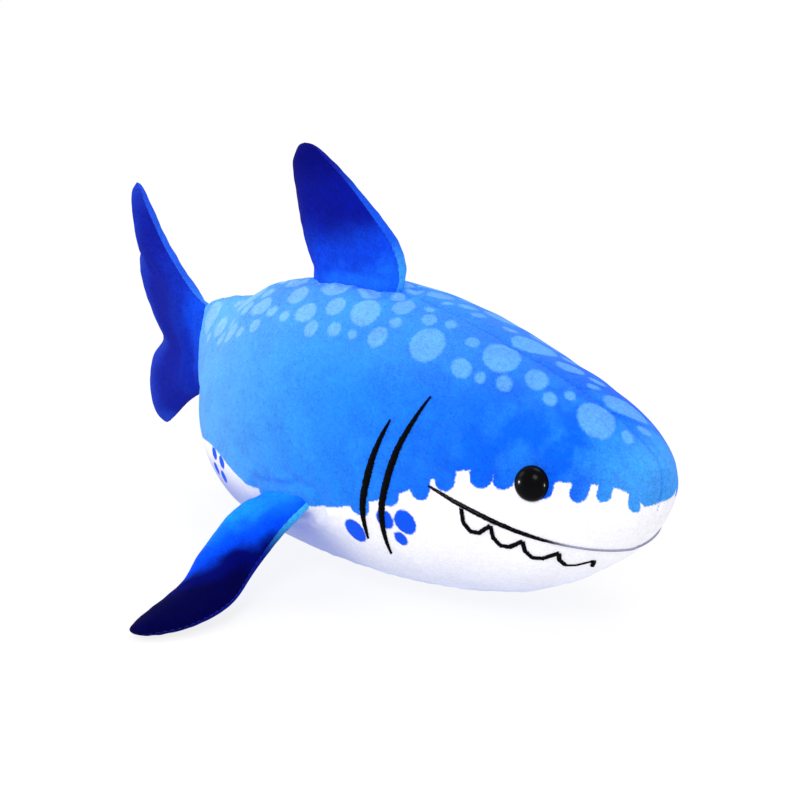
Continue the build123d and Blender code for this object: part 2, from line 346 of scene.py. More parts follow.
def thread_material(name, colour, gloss=0.45, specular=0.15, faint_from=None):
    """Twisted thread: fine bands along it, and a soft shine. Ahead of faint_from it turns pale grey:
    painted shade of the crease at the front of the mouth.
    """
    n = Nodes(name)
    fibre = n.noise(0.25, 2.0, 0.6)
    shade = n.mix(fibre, colour, [c * 1.8 + 0.001 for c in colour[:3]] + [1.0])
    # Painted shade: pale grey ahead of faint_from, for the shade in the mouth's crease.
    if faint_from:
        x = n.fill(n.add("ShaderNodeSeparateXYZ"), Vector=n.rest).outputs["X"]
        shade = n.mix(n.ramp(x, faint_from - 4, faint_from + 5), shade, (168, 170, 196))
    return n.look(Base_Color=shade, Roughness=n.ramp(fibre, 0.3, 0.7, gloss, gloss + 0.25),
                  Specular_IOR_Level=specular, Normal=n.bump(fibre, 0.1, 0.5))


def plain_finish(name, size, dark, light, least, most, **extra):
    """An uneven plain finish: two colours and two roughnesses, in lumps of a size in millimetres."""
    n = Nodes(name)
    lumps = n.noise(size * MM, where=n.add("ShaderNodeTexCoord").outputs["Object"])
    return n.look(Base_Color=n.mix(lumps, dark, light),
                  Roughness=n.ramp(lumps, 0.3, 0.7, least, most), **extra)


BODY_PRINT_AND_PAINTED_LIGHT = body_print_and_painted_light()
WHITE_PLUSH = white_plush()
BLACK_THREAD = thread_material("black_thread", linear(1, 1, 3), 0.6, 0.04)
BLUE_THREAD = thread_material("seam_thread", linear(40, 110, 225))
WHITE_THREAD = thread_material("white_seam_thread", linear(225, 228, 245))
NAVY_THREAD = thread_material("navy_seam_thread", linear(10, 16, 110))
EYE_PLASTIC = plain_finish("eye_plastic", 10 / 9, (0, 0, 2), (3, 3, 6), 0.16, 0.22,
                           IOR=1.2, Specular_IOR_Level=0.3)
STUFFING = plain_finish("fibre_fill", 6.0, (236, 238, 244), (255, 255, 255), 0.5, 0.8)
WASHER = plain_finish("washer_plastic", 1.5, (205, 206, 210), (255, 255, 255), 0.5, 0.8)
DORSAL_COLOURS = [(24, 104, 246), (12, 66, 216), (6, 18, 140), (4, 8, 106)]
DORSAL_TURNS = [(0.02, 0.16), (0.12, 0.5), (0.5, 0.9)]
TAIL_COLOURS = [(16, 70, 216), (18, 44, 172), (18, 30, 150), (32, 62, 192)]
TAIL_TURNS = [(0.02, 0.2), (0.2, 0.5), (0.6, 0.95)]
PECTORAL_COLOURS = [(20, 140, 250), (0, 74, 246), (0, 4, 92), (0, 0, 60)]
PECTORAL_TURNS = [(0.32, 0.56), (0.54, 0.72), (0.74, 0.92)]
DORSAL_PRINT = fin_print("dorsal_fin_print", DORSAL_COLOURS, DORSAL_TURNS, -0.08)
# The far panels' rim colours are painted sheen along the front edge, lightest near the root.
DORSAL_FAR_PRINT_AND_PAINTED_SHEEN = fin_print("dorsal_fin_far_print_and_painted_sheen", DORSAL_COLOURS, DORSAL_TURNS, 0.0,
                             [(66, 166, 244), (20, 80, 220), (6, 16, 140)])
TAIL_PRINT = fin_print("tail_fin_print", TAIL_COLOURS, TAIL_TURNS, -0.12)
TAIL_FAR_PRINT_AND_PAINTED_SHEEN = fin_print("tail_fin_far_print_and_painted_sheen", TAIL_COLOURS, TAIL_TURNS, 0.0,
                           [(50, 124, 240), (36, 90, 222), (34, 76, 212)])
PECTORAL_PRINT = fin_print("pectoral_fin_print", PECTORAL_COLOURS, PECTORAL_TURNS, 0.42)
PECTORAL_LOWER_PRINT_AND_PAINTED_SHEEN = fin_print("pectoral_fin_lower_print_and_painted_sheen", PECTORAL_COLOURS, PECTORAL_TURNS, 0.42,
                                 [(60, 176, 246), (2, 20, 130), (0, 4, 84)])


# ---- the body's surface, from the frame
SKIN_NODES = ("right_side_panel", "left_side_panel", "belly_panel")
SKIN_LOW, SKIN_HIGH = box_mm("right_side_panel")
NOSE_X, STOCK_X = SKIN_HIGH[0], SKIN_LOW[0]
NOSE_ZONE = 46.0                # the nose is measured by rays that fan out from this far back
STOCK_ZONE = 8.0
AXIS_Z = 64.0                   # height of the line that the rays fan out from
STOCK_AXIS_Z = 70.0             # and its height at the tail stock
NOSE_SHARE, STOCK_SHARE = 0.24, 0.93    # shares of the way from nose to tail where the fans end
STEPS, SPOKES = 72, 96
BESIDE_SEAM = 0.3               # rays pass just beside the seam between the side panels


def spoke(way, angle):
    """Start and direction of the spoke at a share of the way back, and an angle from the top.

    Positive angles go down the right side."""
    way, angle = np.broadcast_arrays(np.asarray(way, float), np.asarray(angle, float))
    front, back = NOSE_X - NOSE_ZONE, STOCK_X + STOCK_ZONE
    x = np.interp(way, [NOSE_SHARE, STOCK_SHARE], [front, back])
    z = np.interp(x, [back, back + 60], [STOCK_AXIS_Z, AXIS_Z])
    fan = np.interp(way, [0, NOSE_SHARE, STOCK_SHARE, 1], [0, math.pi / 2, math.pi / 2, math.pi])
    start = np.stack([x, 0 * x, z], -1)
    aim = np.stack([np.cos(fan), -np.sin(fan) * np.sin(angle), np.sin(fan) * np.cos(angle)], -1)
    return start, aim


def measured_reach():
    """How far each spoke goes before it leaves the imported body, lightly smoothed."""
    tree = tree_of([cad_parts[name] for name in SKIN_NODES])
    ways = np.linspace(0, 1, STEPS + 1)
    angles = np.arange(SPOKES) * 2 * math.pi / SPOKES
    reach = np.zeros((STEPS + 1, SPOKES))
    far = 400.0
    for i, way in enumerate(ways):
        start, aim = spoke(way, angles)
        for j in range(SPOKES):
            origin = Vector(start[j] + aim[j] * far + [0, BESIDE_SEAM, 0])
            hit = tree.ray_cast(origin, Vector(-aim[j]), far)
            reach[i, j] = far - hit[3] if hit[0] is not None else reach[i, j - 1]
    reach = (reach + reach[:, (-np.arange(SPOKES)) % SPOKES]) / 2       # both sides alike
    for _ in range(2):
        reach = (np.roll(reach, 1, 1) + 2 * reach + np.roll(reach, -1, 1)) / 4
        reach[1:-1] = (reach[:-2] + 2 * reach[1:-1] + reach[2:]) / 4
    reach[0] = reach[0].mean()
    return reach


REACH = measured_reach()


def cubic_weights(t):
    return np.stack([-t / 2 + t ** 2 - t ** 3 / 2, 1 - 2.5 * t ** 2 + 1.5 * t ** 3,
                     t / 2 + 2 * t ** 2 - 1.5 * t ** 3, -t ** 2 / 2 + t ** 3 / 2], -1)


def surface(way, angle):
    """Points of the body's surface, in millimetres."""
    way, angle = np.broadcast_arrays(np.asarray(way, float), np.asarray(angle, float))
    row = np.clip(way, 0, 1) * STEPS
    column = (angle / (2 * math.pi) * SPOKES) % SPOKES
    r0 = np.minimum(row.astype(int), STEPS - 1)
    c0 = column.astype(int)
    wr, wc = cubic_weights(row - r0), cubic_weights(column - c0)
    total = np.zeros(way.shape)
    for a in range(4):
        rows = np.clip(r0 + a - 1, 0, STEPS)
        for b in range(4):
            total += wr[..., a] * wc[..., b] * REACH[rows, (c0 + b - 1) % SPOKES]
    start, aim = spoke(way, angle)
    return start + aim * total[..., None]


# ---- the print's design
# Pale spots of the back, alike on both sides, scattered by a rule: how many of each size, the
# smallest and largest width, and the least clear gap round them, in millimetres.
SPOT_SIZES = [(7, 14.0, 17.0, 7.0), (12, 9.0, 12.0, 3.0), (26, 4.5, 7.5, 2.0)]
SPOT_REAR, SPOT_FRONT = -108.0, 156.0
SPOT_LONG = 1.25                # length of a spot as a multiple of its width
SPOT_SEED = 5


def scatter_spots():
    """Places (along X, and down from the back seam), lengths, widths and turns of the spots.

    Each is tried at random and kept where it is clear of those before it, widest first."""
    draw = random.Random(SPOT_SEED)
    spots = []
    for count, least, most, gap in SPOT_SIZES:
        kept = 0
        for _ in range(4000):
            x, wide = draw.uniform(SPOT_REAR, SPOT_FRONT), draw.uniform(least, most)
            lowest = np.interp(x, [SPOT_REAR, -60, -10, 60, SPOT_FRONT], [26, 44, 46, 36, 12])
            down = draw.uniform(wide / 2 + 2, max(lowest - 0.4 * wide, wide / 2 + 2))
            if all(math.hypot(x - o[0], down - o[1]) > (wide + o[3]) * 0.56 + gap for o in spots):
                spots.append((x, down, wide * SPOT_LONG, wide, draw.uniform(25, 65)))
                kept += 1
            if kept == count:
                break
    return spots


SPOTS = scatter_spots()
# The border between blue and white: distance back round the snout from the nose, and height.
BORDER = [(-5, 67), (22, 79), (60, 80), (92, 78), (125, 60), (165, 45), (210, 39), (260, 48), (310, 30)]
# Drips that hang from the front of the border: where, how far they stray, how deep and half how wide.
DRIP_FIRST, DRIP_LAST, DRIP_STEP = 11.0, 142.0, 14.5
DRIP_STRAY = 3.0
DRIP_DEPTH, DRIP_HALF = (4.0, 7.5), (3.4, 6.0)
DRIP_SEED = 3
# Dark blots on the white, in clusters: distance back, height, how many, the first one's half
# length, how much shorter each next one is, and how far they lie from the middle.
BLOT_CLUSTERS = [(123, 46, 3, 5.5, 1.1, 6.0), (147, 38, 1, 5.5, 0.0, 0.0), (248, 40, 4, 3.0, 0.0, 6.0)]
BLOT_TALL = 1.1                 # height of a blot as a multiple of its length


def hang_drips():
    """Distance back, lowest point and half width of each drip."""
    draw = random.Random(DRIP_SEED)
    drips = []
    for back in np.arange(DRIP_FIRST, DRIP_LAST, DRIP_STEP):
        back += draw.uniform(-DRIP_STRAY, DRIP_STRAY)
        line = np.interp(back, *np.array(BORDER, float).T)
        drips.append((back, line - draw.uniform(*DRIP_DEPTH), draw.uniform(*DRIP_HALF)))
    return drips


def lay_blots():
    """Distance back, height, half length and half height of each blot."""
    blots = []
    for back, height, count, first, less, away in BLOT_CLUSTERS:
        for k in range(count):
            turn = math.tau * k / count + 0.6
            size = first - less * k
            blots.append((back - away * math.cos(turn), height + away * math.sin(turn),
                          size, BLOT_TALL * size))
    return blots


DRIPS = hang_drips()
BLOTS = lay_blots()


def round_the_snout():
    """Distance back along the flank from the nose, as a table against X."""
    ways = np.linspace(0, 1, 400)
    flank = surface(ways, math.pi / 2)
    steps = np.hypot(np.diff(flank[:, 0]), np.diff(flank[:, 1]))
    return flank[:, 0], np.concatenate([[0], np.cumsum(steps)])


FLANK_X, FLANK_BACK = round_the_snout()


def back_at(x):
    return np.interp(-x, -FLANK_X, FLANK_BACK)


def spots_distance(x, down):
    """How far inside a spot each point is, negative outside."""
    found = []
    for sx, sd, long, wide, turn in SPOTS:
        c, s = math.cos(math.radians(turn)), math.sin(math.radians(turn))
        u = (x - sx) * c + (down - sd) * s
        v = -(x - sx) * s + (down - sd) * c
        found.append((1 - np.hypot(u / (long / 2), v / (wide / 2))) * wide / 2)
    return np.max(found, axis=0)


def border_distance(back, height):
    """How far above the dripping border each point is, negative below."""
    edge = curve_through(BORDER, 400)
    line = np.interp(back, edge[:, 0], edge[:, 1])
    inside = [height - line]
    for centre, lowest, half in DRIPS:
        end = lowest + half
        up = np.maximum(end - height, 0)
        inside.append(half - np.hypot(back - centre, up))
    return np.max(inside, axis=0)


def blots_distance(back, height):
    found = [(1 - np.hypot((back - b) / long, (height - z) / tall)) * min(long, tall)
             for b, z, long, tall in BLOTS]
    return np.max(found, axis=0)


# ---- features that press into the body
def cast(place, aim):
    """The body's surface point that a ray from well outside meets, and its normal."""
    hit = BODY_TREE.ray_cast(Vector(place) - aim * 200, aim)
    return np.array(hit[0]), np.array(hit[1])


def seen_from_side(x, z, side):
    """The body's surface at a place on the side view."""
    return cast((x, 0, z), Vector((0, -side, 0)))


SNOUT_X = 90.0                  # upright axis that the mouth and teeth are laid out round


def seen_round_snout(turn, z, side=RIGHT):
    """The body's surface at a turn in degrees from straight ahead, and a height."""
    a = math.radians(turn)
    return cast((SNOUT_X, 0, z), -Vector((math.cos(a), side * math.sin(a), 0)))


def mouth_height(turn):
    return 46 + 0.17 * abs(turn) + 0.0008 * turn * turn


MOUTH_CORNER = 94.0
TOOTH_START, TOOTH_STEP, TOOTH_COUNT = 76.5, 15.0, 4      # turns from straight ahead, in degrees
TOOTH_DROP, TOOTH_DEPTH = 1.5, 10.0       # the first tooth's start below the mouth, and its height
FAINT_TEETH = (18, 29)                    # turns between which the teeth's line is thin


def zigzag():
    """Turns and heights of the teeth's line: each tooth drops, runs flat and climbs again."""
    path = []
    for k in range(TOOTH_COUNT):
        turn = TOOTH_START - k * TOOTH_STEP
        top = mouth_height(turn) - TOOTH_DROP - 1.2 * k
        floor = top - TOOTH_DEPTH + 0.8 * k
        path += [(turn, top), (turn - 1, floor + 3.5), (turn - 4.5, floor), (turn - 9, floor)]
    end = TOOTH_START - TOOTH_COUNT * TOOTH_STEP
    return path + [(end, 42.0), (end - 1.5, 38.0)]


TEETH = zigzag()
# Each gill slit: X and Z of its foot, how far its top leans forwards, and its height.
GILL_SLITS = [(61, 30, 13, 73), (52, 36, 9, 56)]
GILL_SHARES = (1, 0.75, 0.5, 0.25, 0)
GILL_WIDTH = 3.4
EYE_SIDE = (131, 78)            # the eye's place on the side view
EYE_RADIUS, EYE_HEIGHT = 7.6, 4.5


STOCK_NARROWING, STOCK_ZONE_X = 0.14, (-85, -116)      # the tail stock is drawn in over this stretch
DENT_DEPTH, DENT_X, DENT_REACH = 3.6, -84, 14.0        # a slack place on the back, before the tail
NEAR_EYE_DIP, NEAR_EYE_SWELL = 1.4, 0.4                # the skin is pulled in by an eye's shank


def body_grid(ways, angles):
    """Surface points with the sewn and stuffed shape: seams, dimples and uneven filling."""
    points = surface(ways, angles)
    points[..., 1] *= 1 - STOCK_NARROWING * smooth_step(*STOCK_ZONE_X, points[..., 0])
    normals = grid_normals(points)
    if np.sum(normals * (points - np.array([0.0, 0.0, AXIS_Z]))) < 0:
        normals = -normals
    for row, straight in ((0, 1.0), (-1, -1.0)):                # where the spokes meet in a point
        if np.ptp(points[row], axis=0).max() < 0.01:
            normals[row] = (straight, 0, 0)
    x, y, z = points[..., 0], points[..., 1], points[..., 2]
    outside = lens_distance(x, y)
    push = 0.9 * noise_at(points, 34.0, 3.0) + 0.4 * noise_at(points, 15.0, 9.0)
    above = smooth_step(60, 72, z)
    middle_seam = above + 0.35 * (1 - above) * smooth_step(0, 5, outside)
    push += middle_seam * seam_press(points, np.abs(y), 0.9, 5.0)
    push += smooth_step(60, 45, z) * seam_press(points, np.abs(outside), 1.1, 17.0)
    push -= DENT_DEPTH * np.exp(-((x - DENT_X) / DENT_REACH) ** 2) * smooth_step(76, 96, z)
    for eye_point in EYE_POINTS:
        near = np.linalg.norm(points - eye_point, axis=-1)
        push -= NEAR_EYE_DIP * np.exp(-(near / 9.0) ** 2)
        push += NEAR_EYE_SWELL * np.exp(-((near - 13) / 5.0) ** 2)
    for first, last, reach, depth in FIN_ROOTS:
        run = last - first
        share = np.clip(((points - first) @ run) / (run @ run), 0, 1)
        near = np.linalg.norm(points - first - share[..., None] * run, axis=-1)
        pucker = noise_at(points, 6.0, 29.0)
        push += -depth * np.exp(-((near - reach) / 2.4) ** 2)
        push += 1.3 * depth * pucker * np.exp(-((near - reach - 4) / 5.0) ** 2)
    points = points + normals * (push * smooth_step(0.0, 6.0, z))[..., None]
    points[..., 2] = np.maximum(points[..., 2], 0.15)
    return points


def seam_press(points, distance, depth, seed):
    """A sewn seam: a narrow groove whose lips swell and pucker unevenly."""
    groove = -depth * np.exp(-(distance / 1.1) ** 2) - 0.4 * depth * np.exp(-(distance / 5.0) ** 2)
    pucker = noise_at(points * np.array([1.0, 0.25, 0.6]), 4.5, seed)
    return groove + 0.6 * depth * pucker * np.exp(-((distance - 3.0) / 4.0) ** 2)


def lens_distance(x, y):
    """Distance outside the belly panel's outline, seen from below; negative inside."""
    low, high = box_mm("belly_panel")
    half_length, half_width = (high[0] - low[0]) / 2, (high[1] - low[1]) / 2
    radius = (half_length ** 2 + half_width ** 2) / (2 * half_width)
    return np.hypot(x - (low[0] + high[0]) / 2, np.abs(y) + radius - half_width) - radius


def seam_angles(ways):
    """The angle from the top at which each section meets the belly seam, or the bottom."""
    angles = np.linspace(math.pi * 0.5, math.pi, 400)
    points = surface(ways[:, None], angles[None, :])
    outside = lens_distance(points[..., 0], points[..., 1])
    found = np.full(len(ways), math.pi)
    for i, row in enumerate(outside):
        inside = np.nonzero(row < 0)[0]
        if len(inside) and inside[0] > 0:
            k = inside[0]
            share = row[k - 1] / (row[k - 1] - row[k])
            found[i] = angles[k - 1] + share * (angles[k] - angles[k - 1])
    return found


EYE_POINTS = [np.array([EYE_SIDE[0], s * 39.0, EYE_SIDE[1]]) for s in (RIGHT, LEFT)]
# Where fins are sewn on: the two ends of the root, how far the crease is from it, and its depth.
FIN_ROOTS = [(np.array([-12.0, s * 62, 38]), np.array([20.0, s * 62, 46]), 7.5, 1.5) for s in (RIGHT, LEFT)]
FIN_ROOTS.append((np.array([-40.0, 0, 126]), np.array([13.0, 0, 130]), 9.0, 1.2))
ALLOWANCE = 3.5                 # fabric turned in at a seam
INSIDE = (20, 0, 62)            # a point inside the body


def turned_in(grid, inside):
    """Adds a row of seam allowance at both ends of the second axis, folded towards the inside."""
    folds = []
    for edge in (grid[:, 0], grid[:, -1]):
        away = inside - edge
        length = np.maximum(np.linalg.norm(away, axis=1, keepdims=True), 1e-6)
        folds.append((edge + away / length * ALLOWANCE)[:, None])
    return np.concatenate([folds[0], grid, folds[1]], axis=1)


def body_attributes(points):
    x, y, z = points[..., 0], points[..., 1], points[..., 2]
    back = back_at(x)
    top = surface_top(x)
    # Distance down from the back seam, along the skin; far away on the lower half.
    down = distance_along(points, 1)
    down = down - down[:, 1:2]
    down = np.where(z < 0.55 * top, 500.0, down)
    return {
        "spots": spots_distance(x, down),
        "border": border_distance(back, z),
        "blots": blots_distance(back, z),
        "along": (NOSE_X - x) / (NOSE_X - STOCK_X),
        "height": z,
    }


def surface_top(x):
    ways = np.linspace(0, 1, 300)
    line = surface(ways, 0.0)
    return np.interp(-x, -line[:, 0], line[:, 2])


def body_panel(name, ways, angles, measures, paint, node):
    """A plush panel of the body, with its seam allowance turned in."""
    grid = turned_in(body_grid(ways[:, None], angles), spoke(ways, 0)[0])
    piece = grid_object(name, grid, measures(grid), INSIDE)
    dress(piece, paint, node)
    return piece


def make_side(side, word):
    rows, columns = 380 // COARSE, 226 // COARSE
    ways = np.linspace(0.0, 1.0, rows)
    angles = -side * np.linspace(0, 1, columns)[None, :] * seam_angles(ways)[:, None]
    return body_panel(word + "_side_plush", ways, angles, body_attributes, BODY_PRINT_AND_PAINTED_LIGHT,
                      word + "_side_panel")


def belly_ways(number):
    """Shares of the way back along the belly panel, and its seam's angle at each."""
    ways = np.linspace(0, 1, 1200)
    within = ways[seam_angles(ways) < math.pi - 1e-3]
    ways = np.linspace(within[0], within[-1], number)
    return ways, seam_angles(ways)


def make_belly():
    rows, columns = 300 // COARSE, 84 // COARSE
    ways, ends = belly_ways(rows)
    ends[[0, -1]] = np.minimum(ends[[0, -1]], math.pi - 0.01)
    angles = math.pi + np.linspace(-1, 1, columns)[None, :] * (math.pi - ends)[:, None]
    return body_panel("belly_panel_plush", ways, angles, lambda grid: {"height": grid[..., 2]},
                      WHITE_PLUSH, "belly_panel")


BODY_TREE = tree_of([make_side(RIGHT, "right"), make_side(LEFT, "left"), make_belly()])


# ---- embroidery and seam stitches
def strand_mesh(name, laid, radius):
    """Many short threads, each a list of points on a low arch, as one mesh of thin tubes."""
    sides = 5
    turn = np.arange(sides)[:, None] * math.tau / sides
    vertices, faces = [], []
    for path in laid:
        path = np.array(path)
        along = np.gradient(path, axis=0)
        along /= np.maximum(np.linalg.norm(along, axis=1, keepdims=True), 1e-9)
        up = np.cross(along, np.roll(along, 1, axis=1) + 0.3)
        up /= np.maximum(np.linalg.norm(up, axis=1, keepdims=True), 1e-9)
        across = np.cross(along, up)
        thick = np.full((len(path), 1, 1), radius)
        thick[[0, -1]] *= 0.55
        rings = path[:, None] + thick * (up[:, None] * np.cos(turn) + across[:, None] * np.sin(turn))
        index = len(vertices) + np.arange(len(path) * sides).reshape(-1, sides)
        vertices += list(rings.reshape(-1, 3))
        faces += quads(index, True) + [index[0, ::-1].tolist(), index[-1].tolist()]
    return mesh_object(name, vertices, faces)


def strands(name, laid, node, material, radius=0.24):
    """Threads laid on the body, as one piece."""
    dress(strand_mesh(name, laid, radius), material, node)


def satin(points, normals, widths, pitch=0.42, slant=0.35, rise=0.75):
    """Satin stitch along a line on the fabric: parallel threads laid across it."""
    points, normals = np.array(points), np.array(normals)
    length = distance_along(points)
    laid, at = [], 0.0
    while at < length[-1]:
        p, n = read_along(at, length, points), read_along(at, length, normals)
        n /= np.linalg.norm(n)
        along = (read_along(min(at + 0.8, length[-1]), length, points)
                 - read_along(max(at - 0.8, 0), length, points))
        along /= max(np.linalg.norm(along), 1e-6)
        across = np.cross(n, along) + slant * along
        half = np.interp(at, length, widths) / 2
        reach = [half * (1 + random.uniform(-0.12, 0.16)) + random.uniform(-0.1, 0.15) for _ in (0, 1)]
        laid.append([p + across * share * max(reach[share > 0], 0.25) + n * lift for share, lift
                     in ((-1.0, -0.35), (-0.8, 0.45), (0.0, rise), (0.8, 0.45), (1.0, -0.35))])
        at += pitch * random.uniform(0.85, 1.15)
    return laid


# Ahead of this turn the mouth line is painted shade: a thin pale grey line for the crease at the front of
# the mouth.
MOUTH_FAINT = 33                              # ahead of this turn the mouth is only a faint line


def make_mouth():
    turns = np.linspace(-MOUTH_CORNER, MOUTH_CORNER, 160)
    points, normals = zip(*(seen_round_snout(abs(turn), mouth_height(turn), LEFT if turn > 0 else RIGHT)
                            for turn in turns))
    widths = np.interp(np.abs(turns), [0, 24, 34, 42, 62, 82, 94], [0.3, 0.3, 0.8, 1.6, 2.3, 1.7, 0.7])
    faint_from = seen_round_snout(MOUTH_FAINT, mouth_height(MOUTH_FAINT))[0][0]
    paint = thread_material("mouth_thread_and_crease_shade", linear(1, 1, 3), 0.6, 0.04, faint_from)
    strands("mouth_satin_stitch_and_crease_shade", satin(points, normals, widths), "mouth_line_stitching", paint)


def make_teeth(side, word):
    laid = []
    for first, second in zip(TEETH[:-1], TEETH[1:]):
        places = np.linspace(first, second, 8)
        points, normals = zip(*(seen_round_snout(turn, z, side) for turn, z in places))
        faint = FAINT_TEETH[0] < first[0] < FAINT_TEETH[1]
        laid += satin(points, normals, [0.4 if faint else 1.8] * 8, rise=0.6)
    strands(word + "_teeth_satin_stitch", laid, word + "_teeth_stitching", BLACK_THREAD)


def make_gills(side, word):
    laid = []
    for x, z, lean, tall in GILL_SLITS:
        path = [(x + lean * share ** 1.6, z + tall * share) for share in GILL_SHARES]
        points, normals = zip(*(seen_from_side(*place, side) for place in curve_through(path, 60)))
        widths = GILL_WIDTH * np.sin(math.pi * np.clip(np.linspace(0, 1, 60), 0.02, 0.98)) ** 0.6
        laid += satin(points, normals, widths, slant=0.25, rise=0.9)
    strands(word + "_gill_satin_stitch", laid, word + "_gill_stitching", BLACK_THREAD)


def seam_stitches(points, normals, length=2.6, gap=0.9, sink=0.1):
    """A row of short machine stitches lying in a seam."""
    run = distance_along(points)
    laid, at = [], 0.0
    while at + length < run[-1]:
        thread = []
        for share, lift in ((0, -0.5), (0.2, 0.1), (0.5, 0.25), (0.8, 0.1), (1, -0.5)):
            s = at + share * length
            thread.append(read_along(s, run, points) + read_along(s, run, normals) * (lift - sink))
        laid.append(thread)
        at += length + gap
    return laid


def make_back_seam():
    line = body_grid(np.linspace(0.004, 0.985, 320)[:, None], np.array([[-0.02, 0, 0.02]]))
    normals = grid_normals(line)
    normals = normals * np.sign(normals[:, 1:2, 2:3] + 1e-9)
    strands("back_seam_stitches", seam_stitches(line[:, 1], normals[:, 1]), "back_seam_thread",
            BLUE_THREAD, 0.13)


def ladder_stitch(point, up):
    """One hand-sewn stitch across the left belly seam."""
    slope = np.array([0.0, 1.0, 0.0])
    slope = slope - up * (slope @ up)
    slope /= np.linalg.norm(slope)
    lean = np.array([0.8, 0, 0])
    return [point + slope * s * 2.6 + lean * s + up * h
            for s, h in ((-1, -0.4), (-0.7, 0.9), (0, 1.3), (0.7, 0.9), (1, -0.4))]


def make_belly_seam():
    """Machine stitches down both belly seams, but for the gap on the left that was closed by hand."""
    ways, ends = belly_ways(300)
    low, high = box_mm("closing_stitches")
    laid, ladder = [], []
    for side in (RIGHT, LEFT):
        line = body_grid(ways[:, None], -side * ends[:, None] + np.array([[-0.03, 0, 0.03]]))
        normals = grid_normals(line)
        away = (line - np.array([0, 0, 60.0])) * np.array([0, 1, 1])
        normals = normals * np.sign(np.sum(normals * away, axis=-1, keepdims=True))
        points, ups = line[:, 1], normals[:, 1]
        parts = [slice(None)]
        if side == LEFT:
            parts = [points[:, 0] >= high[0] + 2, points[:, 0] <= low[0] - 2]
            for x in np.linspace(low[0], high[0], 9):
                k = int(np.argmin(np.abs(points[:, 0] - x)))
                ladder.append(ladder_stitch(points[k], ups[k]))
        for part in parts:
            laid += seam_stitches(points[part], ups[part])
    strands("belly_seam_stitches", laid, "belly_seam_thread", WHITE_THREAD, 0.2)
    strands("closing_ladder_stitches", ladder, "closing_stitches", WHITE_THREAD, 0.3)


# ---- eyes
def make_eye(side, word):
    centre, normal = seen_from_side(*EYE_SIDE, side)
    normal = normal / np.linalg.norm(normal)
    if normal[1] * side < 0:
        normal = -normal
    first = np.cross(normal, [0, 0, 1.0])
    first /= np.linalg.norm(first)
    second = np.cross(normal, first)
    centre = centre + normal * 0.5
    rings, sides = 28, 64
    rise = np.arange(1, rings + 1) * math.pi / 2 / rings
    # The dome, and below it a rim that is turned under into the fabric.
    radii = np.append(EYE_RADIUS * np.sin(rise), EYE_RADIUS + np.array([0.15, -0.1, -1.4]))
    heights = np.append(EYE_HEIGHT * np.cos(rise), [-0.5, -1.1, -1.4])
    a = np.arange(sides)[:, None] * math.tau / sides
    grid = centre + heights[:, None, None] * normal
    grid = grid + radii[:, None, None] * (first * np.cos(a) + second * np.sin(a))
    ends = (centre + normal * EYE_HEIGHT, centre + normal * heights[-1])
    dress(closed_tube(word + "_eye_dome", grid, ends), EYE_PLASTIC, word + "_eye")


# ---- fins
def patch(root, tip, rear, front, rows, columns):
    """A grid of points that fills four edge curves, from the root outwards and rear to front."""
    root, tip = curve_through(root, columns), curve_through(tip, columns)
    rear, front = curve_through(rear, rows), curve_through(front, rows)
    v = np.linspace(0, 1, rows)[:, None, None]
    w = np.linspace(0, 1, columns)[None, :, None]
    across = (1 - w) * rear[:, None] + w * front[:, None]
    outward = (1 - v) * root[None] + v * tip[None]
    corners = ((1 - v) * ((1 - w) * root[0] + w * root[-1]) + v * ((1 - w) * tip[0] + w * tip[-1]))
    return across + outward - corners


def rounded(distance, radius):
    """0 at an edge, rising like a quarter circle to 1 at the radius."""
    return np.sqrt(np.maximum(1 - (1 - np.clip(distance / radius, 0, 1)) ** 2, 0))


def even(number):
    """Shares from 0 to 1 that crowd towards both ends, so that a rounded edge is well drawn."""
    return (1 - np.cos(math.pi * np.linspace(0, 1, number))) / 2


